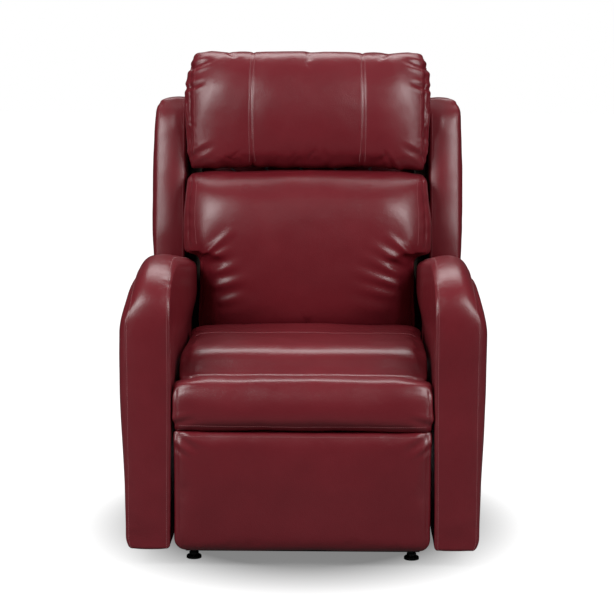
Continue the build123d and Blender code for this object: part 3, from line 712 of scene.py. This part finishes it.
def build_wing(side, label):
    """Side bolster of the back: a narrow front band and a bulging outer panel."""
    (left, nearest, bottom), (right, rear, top) = box(f"{label}_wing")
    inner = min(abs(left), abs(right)) - 1
    band_out = inner + 75
    rear_bottom = back_plane(bottom) + rear - back_plane(top)
    front = [(nearest + 4, bottom + 4), (nearest + 4, 690), (back_plane(1010) - 26, 1010),
             (back_plane(top) - 6, top - 3)]
    front = resample(soften(resample(front, 80), 12), 58, 0.75)
    sides = (resample([front[0], (rear_bottom - 4, bottom + 4)], 26, 0.7),
             resample([(rear_bottom - 4, bottom + 4), (rear - 4, top - 4)], 58, 0.75),
             resample([front[-1], (rear - 4, top - 4)], 26, 0.7), front)

    def outer_seam(p):
        return side * (band_out + 0 * p[..., 0])

    def inner_seam(p):
        return side * (inner + 0 * p[..., 0])

    def outer_bulge(u, v, p):
        swell = 4 + 5 * step(p[..., 1], 560, 760) * (1 - 0.7 * step(p[..., 1], 860, 1040))
        return side * (2 + swell * dome(u, 4) * dome(v, 4))

    def inner_bulge(u, v, _):
        return -side * (1 + 1.5 * dome(u, 4) * dome(v, 8))

    def crown(ring, t):
        near_top = step(ring[:, 1], top - 70, top - 15)
        upright = step(ring[:, 1], bottom, bottom + 60) * (1 - 0.85 * near_top)
        return 7.0 * dome(t, 2.2) * (0.3 + 0.7 * upright) - 2.4 * near_top

    obj, seams = panel_body(f"{label}_wing_cover", sides, (outer_seam, inner_seam),
                            (outer_bulge, inner_bulge), crown, band_rows=12)
    points = coordinates(obj)
    corner_x, corner_z, radius, smoothing = inner + 49, top - 36, 38, 40
    dx = np.clip((np.abs(points[:, 0]) - corner_x) / radius, 0, None)
    dz = np.clip((points[:, 2] - corner_z) / radius, 0, None)
    reach = np.hypot(dx, dz)
    square = np.maximum(dx, dz)
    squeeze = np.where(reach > 1e-6, square / np.maximum(reach, 1e-6), 1)
    rounded_x = np.sign(points[:, 0]) * (corner_x + dx * squeeze * radius)
    points[:, 0] = np.where(dx > 0, rounded_x, points[:, 0])
    points[:, 2] = np.where(dz > 0, corner_z + dz * squeeze * radius, points[:, 2])
    set_coordinates(obj, points)
    mesh = bmesh.new()
    mesh.from_mesh(obj.data)
    corner = [v for v in mesh.verts if v.co.z / MM > top - 84 and abs(v.co.x) / MM > inner + 30]
    for _ in range(smoothing):
        bmesh.ops.smooth_vert(mesh, verts=corner, factor=0.5,
                              use_axis_x=True, use_axis_y=True, use_axis_z=True)
    mesh.to_mesh(obj.data)
    mesh.free()
    sculpt(obj, lambda p, n: 1.0 * smooth_noise(p, 120, 2.2 * side) + 0.4 * smooth_noise(p, 34, side))
    leather_piece(obj, "back", 0.8, f"{label}_wing")
    rows = []
    for seam, inward in zip(seams, (-1, 1)):
        shown = seam[(seam[:, 2] > bottom + 12) & (seam[:, 1] < back_plane(seam[:, 2]) + 60)]
        shown = shown[np.argsort(shown[:, 2])]
        shown = shown[shown[:, 2] < top - 34].copy()
        shown[:, 0] += side * inward * 5
        shown[:, 1] -= 6
        rows.append(shown)
    stitches(f"{label}_wing_stitching", obj, rows, "back")


def build_pillow():
    """Headrest pillow: three sections between two sewn seams, gathered at both ends."""
    (_, _, bottom), (half, _, top) = box("head_pillow")
    height = top - bottom
    seam_x, end_x = 140, 303
    profile = [(-0.016, 230, 268, 0.950), (0.00, 212, 278, 0.958),
               (0.03, 201, 283, 0.966), (0.10, 191, 293, 0.976),
               (0.20, 186, 300, 0.985), (0.32, 183, 306, 0.994), (0.45, 184, 312, 1.0), (0.58, 189, 318, 1.0),
               (0.70, 199, 326, 0.995), (0.80, 212, 342, 0.985),
               (0.88, 226, 348, 0.972), (0.94, 239, 347, 0.955),
               (0.975, 250, 340, 0.935), (1.0, 264, 326, 0.905)]
    stations = [(y_front, bottom + level * height, y_back, bottom + level * height, half * width)
                for level, y_front, y_back, width in soften(resample(profile, 64), 9)]
    obj = cushion("headrest_pillow", stations, powers=(4.6, 2.3))
    inflate(obj, 10)

    def relief(p, n):
        x, z = p[:, 0], p[:, 2]
        level = (z - bottom) / height
        bend = 4 * np.sin(np.pi * level)
        forward = step(-n[:, 1] + 0.9 * np.abs(n[:, 2]) * (p[:, 1] < 300), 0.15, 0.6)
        height_map = np.zeros(len(p))
        for sign in (-1, 1):
            gap = np.abs(x - sign * (seam_x + bend))
            height_map += groove(gap, 2.6, 3.6) * forward
            height_map += -1.1 * np.exp(-(gap / 24) ** 2) * forward
        section = np.clip(1 - (np.abs(x) / 132) ** 2, 0, 1) + np.clip(1 - ((np.abs(x) - 228) / 80) ** 2, 0, 1)
        height_map += 1.8 * section * forward
        crown = np.clip(1 - np.abs(x / 300) ** 2.6, 0, 1) - 0.5
        height_map += 9 * crown * forward * np.sin(np.pi * np.clip(level, 0, 1))
        end = np.exp(-((np.abs(x) - 302) / 15) ** 2)
        height_map += groove(np.abs(np.abs(x) - end_x), 3.0, 4.0) * (n[:, 1] < 0.35)
        height_map += 1.4 * end * np.sin(z / 5.6 + 2.0 * smooth_noise(p, 40, 4)) * smooth_noise(p, 30, 9)
        height_map += 1.6 * smooth_noise(p, 110, 1.3) + 0.5 * smooth_noise(p, 42, 8.1)
        front = n[:, 1] < 0.3
        for sign in (-1, 1):
            height_map += fold(x, z, (sign * 318, top - 46), (sign * 246, top - 22), 7, 4.2) * front
            height_map += fold(x, z, (sign * 318, top - 96), (sign * 262, top - 78), 6, 2.6) * front
            height_map += fold(x, z, (sign * 306, bottom + 26), (sign * 238, bottom + 60), 8, 2.6) * front
        height_map += fold(x, z, (228, bottom - 4), (196, bottom + 46), 6, 2.6) * front
        edge = 1 - step(level, 0.02, 0.12)
        height_map += 1.3 * edge * np.sin(x / 10.5 + 2.2 * smooth_noise(p, 60, 2)) * front
        return height_map

    sculpt(obj, relief)
    leather_piece(obj, "back", 0.8, "head_pillow")
    rows = []
    heights = np.linspace(bottom + 8, top + 6, 90)
    levels = (heights - bottom) / height
    front = np.interp(levels, [row[0] for row in profile], [row[1] for row in profile])
    for sign in (-1, 1):
        for shift in (-5.5, 5.5):
            x = sign * (seam_x + 4 * np.sin(np.pi * levels)) + shift
            rows.append(np.column_stack([x, front, heights]))
        x = np.full(len(heights), sign * (end_x - 6.0))
        rows.append(np.column_stack([x, front + 12, heights])[6:-10])
    stitches("pillow_stitching", obj, rows, "back")


# Folds that fan out from the arm corners of the back cushion: side, outer end, inner end, width, height.
BACK_RIDGES = [
    (-1, (266, 650), (186, 716), 5.5, 6.6), (-1, (256, 640), (190, 672), 6.5, 5.0),
    (-1, (240, 610), (160, 636), 8, 5.0), (-1, (236, 574), (150, 596), 8, 7.0),
    (-1, (216, 534), (150, 556), 7.5, 6.2), (-1, (212, 506), (90, 540), 13, 4.5),
    (1, (268, 654), (200, 708), 5.5, 5.8), (1, (254, 632), (160, 684), 6.5, 6.4),
    (1, (240, 606), (140, 656), 7.5, 6.0), (1, (232, 580), (118, 618), 7.5, 7.0),
    (1, (216, 552), (112, 582), 8.5, 5.0), (1, (200, 516), (90, 540), 12, 4.4),
]
RIDGE_BROADENING, RIDGE_LOWERING = 1.5, 0.72


def build_lumbar():
    """Back cushion: full between the arms, with an ear over each arm and pinch folds round the arm tops."""
    _, (ear, _, top) = box("lumbar_cushion")
    waist, notch = 277.0, 658.0
    profile = [(440, 130, 186), (446, 113, 190), (458, 101, 194), (480, 94, 199), (520, 87, 208),
               (570, 83, 218), (620, 82, 229), (670, 84, 240), (710, 88, 248), (750, 95, 257),
               (785, 105, 264), (812, 117, 270), (834, 133, 274), (850, 154, 278), (861, 190, 281)]
    stations = []
    for z, y_front, y_back in soften(resample(profile, 90), 14):
        out = step(z, notch - 20, notch + 12)
        shoulder = 12 * step(z, 730, 850) + 8 * step(z, 846, 861)
        half = waist + (ear + 4 - waist) * out - shoulder * out - 5 * (1 - step(z, 440, 500))
        stations.append((y_front, z, y_back, z, half))
    obj = cushion("back_cushion", stations, ring_points=168, powers=(5.0, 2.3))
    inflate(obj, 9)

    def relief(p, n):
        x, z = np.abs(p[:, 0]), p[:, 2]
        front = step(-n[:, 1], -0.1, 0.4)
        height = 2.2 * smooth_noise(p, 150, 6.4) + 0.8 * smooth_noise(p, 60, 3.3)
        for sign, start, end, width, lift in BACK_RIDGES:
            height += ridge(p[:, 0], z, (sign * start[0], start[1]), (sign * end[0], end[1]),
                            RIDGE_BROADENING * width, RIDGE_LOWERING * lift) * front
        height += -9 * np.exp(-(np.hypot(x - 286, z - 640) / 38) ** 2) * front
        height += -7 * step(x, 225, 272) * (1 - step(z, 560, 640)) * front
        height += 4.0 * np.exp(-(np.hypot((x - 190) / 1.2, z - 752) / 70) ** 2) * front
        piping = groove(np.abs(x - (300 - 6 * step(z, 760, 850))), 2.2, 3.4)
        height += piping * step(z, notch + 6, notch + 24) * front
        height += 0.7 * np.exp(-((x - 300) / 12) ** 2) * np.sin(z / 6.0 + smooth_noise(p, 30, 2)) * front
        return height

    sculpt(obj, relief)
    leather_piece(obj, "back", 0.75, "lumbar_cushion")
    heights = np.linspace(notch + 14, top - 12, 40)
    front = np.interp(heights, [row[0] for row in profile], [row[1] for row in profile]) + 12
    x = 295 - 6 * step(heights, 760, 850)
    rows = [np.column_stack([sign * x, front, heights]) for sign in (-1, 1)]
    stitches("back_cushion_stitching", obj, rows, "back")


def build_back_shell():
    """Leather outside back: over the top rail and down the rear, between the wings."""
    (_, _, bottom), (half, rear, top) = box("back_outer_panel")
    half += 5
    lean = rear - back_plane(top)
    middle, thickness, yoke, side_seam, rows = 700, 14, 520, 296, 70
    outer = [(back_plane(top) + 36, top - 2), (rear - 26, top), (rear, top - 24),
             (back_plane(middle) + lean, middle), (back_plane(bottom) + lean, bottom + 2)]
    inner = [(back_plane(top) + 38, top - 12), (rear - 34, top - 12), (rear - 12, top - 34),
             (back_plane(middle) + lean - thickness, middle),
             (back_plane(bottom) + lean - thickness, bottom + 2)]
    outer = resample(soften(resample(outer, 120), 16), rows)
    inner = resample(soften(resample(inner, 120), 16), rows)
    stations = [(*a, *b, half) for a, b in zip(outer, inner)]
    obj = cushion("outside_back_cover", stations, ring_points=96, powers=(14, 5))

    def relief(p, n):
        x, z = p[:, 0], p[:, 2]
        rearward = step(n[:, 1], 0.3, 0.7)
        level = np.clip((z - bottom) / (top - bottom), 0, 1)
        swell = 5.0 * np.clip(1 - (x / 300) ** 4, 0, 1) * np.sin(np.pi * level)
        height = swell * rearward + 1.1 * smooth_noise(p, 140, 9.2)
        height += groove(np.abs(z - yoke), 2.4, 4.0) * rearward
        height += groove(np.abs(np.abs(x) - side_seam), 2.0, 4.0) * rearward
        return height

    sculpt(obj, relief)
    leather_piece(obj, "back", 0.9, "back_outer_panel")
    heights = np.linspace(bottom + 14, top - 40, 120)
    depth = back_plane(heights) + lean + 4
    lines = [np.column_stack([np.full(120, sign * (side_seam - 6.0)), depth, heights]) for sign in (-1, 1)]
    wide = np.linspace(-292, 292, 60)
    above = yoke + 6.0
    lines.append(np.column_stack([wide, np.full(60, back_plane(above) + lean + 6), np.full(60, above)]))
    stitches("outside_back_stitching", obj, lines, "back")


# ===== Seat and legrest =====
LEG_BLEND = ("carriage", "legrest_panel", (0, -0.44, 0.432), (0, -0.44, 0.322))


def build_seat():
    """Leather cover of the seat and its waterfall roll in one piece, and the hidden seat core."""
    seat_low, seat_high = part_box("seat_cushion")
    (_, front, _), _ = box("seat_front_roll")
    outer = [(84, 452), (88, 462), (88, 472), (82, 481), (66, 483), (30, 484), (-10, 480),
             (-60, 482), (-140, 486), (-200, 488), (-250, 488), (-288, 487), (-313, 482),
             (-329, 473), (-338, 460), (-344, 447), (-352, 436), (-368, 431), (-394, 432),
             (-418, 430), (-434, 422), (-445, 409), (front, 393), (front, 372), (front + 1, 350),
             (-446, 332), (-437, 319), (-424, 313)]
    inner = [(80, 446), (70, 446), (60, 446), (50, 446), (40, 446), (20, 446), (-10, 446),
             (-60, 446), (-140, 446), (-200, 446), (-236, 446), (-262, 445), (-284, 442),
             (-302, 437), (-316, 430), (-326, 424), (-336, 418), (-350, 414), (-368, 411),
             (-386, 407), (-398, 402), (-405, 395), (-408, 386), (-410, 372), (-410, 356),
             (-408, 342), (-404, 331), (-400, 319)]
    stations = []
    for y, z, yi, zi in soften(resample(np.hstack([outer, inner]), 150), 5):
        flare = step(-y, 310, 400)
        half = 290 + 3.5 * flare - 4 * np.exp(-(math.hypot(y + 368, z - 432) / 18) ** 2)
        half -= 5 * (1 - step(z, 316, 336)) * (y < -400)
        stations.append((y, z, yi, zi, half))
    obj = cushion("seat_cover", stations, ring_points=150, powers=(11, 3.2))
    inflate(obj, 8)

    def relief(p, n):
        x, y, z = p[:, 0], p[:, 1], p[:, 2]
        up = step(n[:, 2] - n[:, 1] * 0.8, 0.2, 0.7)
        height = 1.5 * smooth_noise(p, 130, 5.5) + 0.6 * smooth_noise(p, 50, 2.1)
        height += groove(np.abs(y + 72), 3.4, 4.5) * up * (z > 460)
        height -= 5.0 * np.exp(-(np.hypot(y + 360, z - 434) / 10) ** 2)
        crown_rear = np.clip(1 - (x / 280) ** 2, 0, 1) * step(y, -70, 0)
        height += 4.0 * crown_rear * up * (z > 455)
        height += 2.5 * np.clip(1 - (x / 280) ** 4, 0, 1) * up
        for sign in (-1, 1):
            height += fold(x, z, (sign * 300, 431), (sign * 216, 437), 8, 4.5) * (y < -380)
            height += fold(x, z, (sign * 298, 330), (sign * 236, 348), 8, 2.2) * (y < -420)
            height += fold(x, y, (sign * 292, -392), (sign * 236, -372), 9, 2.2) * (z > 460)
        height += groove(np.abs(np.abs(x) - 284), 1.6, 3.0) * (y < -425)
        return height

    sculpt(obj, relief)
    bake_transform(obj)
    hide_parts("seat_front_roll")
    rows = [np.column_stack([np.linspace(-half, half, count), np.full(count, y), np.full(count, z)])
            for half, count, y, z in ((276, 116, -80.0, 486.0), (284, 120, -444.0, 328.0))]
    stitches("seat_stitching", obj, rows, LEG_BLEND)

    core_low, core_high = seat_low / MM, seat_high / MM
    levels = [(core_low.z + 2, 0.965), (core_low.z + 10, 0.985), (core_low.z + 40, 0.99),
              (437, 0.985), (443, 0.97)]
    stations = [(max(core_low.y + 4, -300), z, core_high.y - 6, z, 268 * width) for z, width in levels]
    core = cushion("seat_core", stations, SLOT_LOOKS["dust_cloth"], ring_points=96, powers=(16, 14))
    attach(core, "carriage")
    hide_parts("seat_cushion")


def build_leg_panel():
    """Legrest panel pad with softly rounded lower corners."""
    (_, front, bottom), (half, rear, top) = box("legrest_pad")
    stations = []
    for z in resample([[bottom], [top]], 64, 0.8)[:, 0]:
        low_round = 30 - math.sqrt(max(0, 30 ** 2 - max(0, bottom + 30 - z) ** 2))
        high_round = 6 - math.sqrt(max(0, 6 ** 2 - max(0, z - top + 6) ** 2))
        edge = 20 - math.sqrt(max(0, 20 ** 2 - max(0, bottom + 20 - z, z - top + 17) ** 2))
        width = half + 1 - low_round * 0.95 - high_round
        stations.append((front + 2 + edge, z, rear - 1 - edge * 0.3, z, width))
    obj = cushion("legrest_cover", stations, ring_points=150, powers=(16, 4))
    inflate(obj, 6)

    def relief(p, n):
        x, z = p[:, 0], p[:, 2]
        frontal = step(-n[:, 1], 0.2, 0.7)
        height = 1.4 * smooth_noise(p, 150, 8.8) + 0.4 * smooth_noise(p, 50, 4.4)
        fullness = np.sin(np.pi * np.clip((z - bottom) / (top - bottom), 0, 1)) ** 0.5
        height += 8 * frontal * np.clip(1 - (x / half) ** 6, 0, 1) * fullness
        for sign in (-1, 1):
            height += fold(x, z, (sign * 292, top - 4), (sign * 232, top - 46), 9, 2.8) * frontal
            height += fold(x, z, (sign * 292, top - 30), (sign * 256, top - 60), 7, 1.6) * frontal
        height += groove(np.abs(np.abs(x) - 281), 1.3, 3.0) * frontal
        return height

    sculpt(obj, relief)
    leather_piece(obj, "legrest_panel", 0.85, "legrest_pad")
    edge = np.linspace(-280, 280, 118)
    rows = [np.column_stack([edge, np.full(118, front), np.full(118, top - 9)])]
    stitches("legrest_stitching", obj, rows, "legrest_panel")


# ===== Side pocket and handset trim =====
def build_pocket():
    """Leather patch pocket, sewn on three sides and open at the top."""
    (outside, y0, z0), (_, y1, z1) = box("side_pocket")
    leather_thickness, hem = 2.6, 5
    rows = resample([[z0], [z1]], 30, 0.6)[:, 0]
    columns = resample([[y0], [y1]], 34, 0.6)[:, 0]
    points, faces = [], []
    middle_y, middle_z, half_y, half_z = (y0 + y1) / 2, (z0 + z1) / 2, (y1 - y0) / 2, (z1 - z0) / 2
    for x0 in (outside, outside + leather_thickness):
        for z in rows:
            for y in columns:
                a, b = (y - middle_y) / half_y, (z - middle_z) / half_z
                swell = 1.6 * (1 - a ** 4) * (1 - max(0, -b) ** 4)
                points.append((x0 - swell, y, z))
    width, size = len(columns), len(columns) * len(rows)
    for layer in (0, 1):
        for r in range(len(rows) - 1):
            for c in range(width - 1):
                i = layer * size + r * width + c
                faces.append((i, i + 1, i + width + 1, i + width))
    edge = (list(range(width)) + [r * width + width - 1 for r in range(1, len(rows))]
            + [size - 1 - c for c in range(1, width)] + [r * width for r in range(len(rows) - 2, 0, -1)])
    for i, a in enumerate(edge):
        b = edge[(i + 1) % len(edge)]
        faces.append((a, b, b + size, a + size))
    obj = new_object("handset_pocket", points, faces, LEATHER, levels=1)
    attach(obj, "carriage")
    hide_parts("side_pocket")
    y0, y1, z0, z1 = y0 + hem, y1 - hem, z0 + hem, z1 - hem - 2
    x = outside - 3
    rows = [[(x, y0, z1), (x, y0, z0), (x, y1, z0), (x, y1, z1)], [(x, y0, z1), (x, y1, z1)]]
    stitches("pocket_stitching", obj, [resample(r, 80) for r in rows], "carriage")


def build_key_arrows():
    """Raised triangles on the four keys: up and down."""
    for key, direction in (("lift_up", 1), ("lift_down", -1), ("recline", -1), ("upright", 1)):
        low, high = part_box(f"{key}_button")
        centre = (low + high) / 2 / MM
        face = low.x / MM
        flat = [(0, 4 * direction), (-3.6, -2.6 * direction), (3.6, -2.6 * direction)]
        points = [(face - lift, centre.y + a * s, centre.z + b * s)
                  for lift, s in ((-0.1, 1.0), (0.25, 0.86)) for a, b in flat]
        faces = [(0, 1, 4, 3), (1, 2, 5, 4), (2, 0, 3, 5), (3, 4, 5)]
        arrow = new_object(f"{key}_arrow", points, faces, SLOT_LOOKS["black_plastic"])
        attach(arrow, f"{key}_key")


# ===== Studio =====
def area_light(name, place, aim, size, power):
    """White rectangular light at a place, turned to its aim."""
    data = bpy.data.lights.new(name, "AREA")
    data.shape = "RECTANGLE"
    data.size, data.size_y = size
    data.energy = power
    light = bpy.data.objects.new(name, data)
    light.location = place
    light.rotation_euler = (Vector(aim) - Vector(place)).to_track_quat("-Z", "Y").to_euler()
    bpy.context.scene.collection.objects.link(light)


def build_studio():
    """White floor whose camera-seen glow is dimmed round the chair as a painted shadow, two soft boxes, a top
    light and two strips.
    """
    bpy.ops.mesh.primitive_plane_add(size=60, location=(0, 0, 0))
    floor = bpy.context.object
    floor.name = "studio_floor"
    n = Nodes("pale_floor_painted_shadow")
    n.link(n.ramp(n.noise(3, 2), [(0.3, (0.145, 0.145, 0.145)), (0.7, (0.155, 0.155, 0.155))]),
           n.shader.inputs["Base Color"])
    preset(n.shader, Roughness=0.7, Specular_IOR_Level=0.1, Emission_Color=(1, 1, 1, 1))
    reach = n.add("VectorMath", operation="LENGTH")
    squash = n.add("VectorMath", operation="MULTIPLY")
    squash.inputs[1].default_value = (1.2, 1, 1)
    n.link(n.coords, squash.inputs[0])
    n.link(squash.outputs[0], reach.inputs[0])
    # The glow is weakest near the chair and rises outwards: a painted shadow on the floor under and round the
    # chair.
    painted_shadow_glow = preset(n.add("MapRange"), From_Min=0.42, From_Max=0.70, To_Min=0.22, To_Max=1.1)
    n.link(reach.outputs["Value"], painted_shadow_glow.inputs["Value"])
    seen = n.add("Math", operation="MULTIPLY")
    n.link(painted_shadow_glow.outputs["Result"], seen.inputs[0])
    n.link(n.add("LightPath").outputs["Is Camera Ray"], seen.inputs[1])
    n.link(seen.outputs[0], n.shader.inputs["Emission Strength"])
    floor.data.materials.append(n.material)
    world = bpy.data.worlds.new("studio")
    bpy.context.scene.world = world
    world.use_nodes = True
    tree = world.node_tree
    background = tree.nodes["Background"]
    path = tree.nodes.new("ShaderNodeLightPath")
    strength = preset(tree.nodes.new("ShaderNodeMapRange"), To_Min=0.05, To_Max=1.0)
    tree.links.new(path.outputs["Is Camera Ray"], strength.inputs["Value"])
    tree.links.new(strength.outputs["Result"], background.inputs["Strength"])
    preset(background, Color=(1, 1, 1, 1))
    middle = (0, -0.1, 0.6)
    area_light("soft_box_left", (-2.0, -2.1, 2.5), middle, (1.4, 1.4), 58)
    area_light("soft_box_right", (2.0, -2.1, 2.5), middle, (1.4, 1.4), 52)
    area_light("top_light", (0, 0.9, 3.0), (0, -0.2, 0.6), (2.4, 1.2), 42)
    area_light("side_strip_left", (-2.6, -1.9, 1.3), middle, (0.5, 1.5), 14)
    area_light("side_strip_right", (2.6, -1.9, 1.3), middle, (0.5, 1.5), 13)
    bpy.context.scene.view_settings.view_transform = "Standard"


make_camera()
dress_cad_nodes()
for side_sign, side_label in ((1, "left"), (-1, "right")):
    build_arm(side_sign, side_label)
    build_wing(side_sign, side_label)
build_pillow()
build_lumbar()
build_back_shell()
build_seat()
build_leg_panel()
build_pocket()
build_key_arrows()
build_studio()
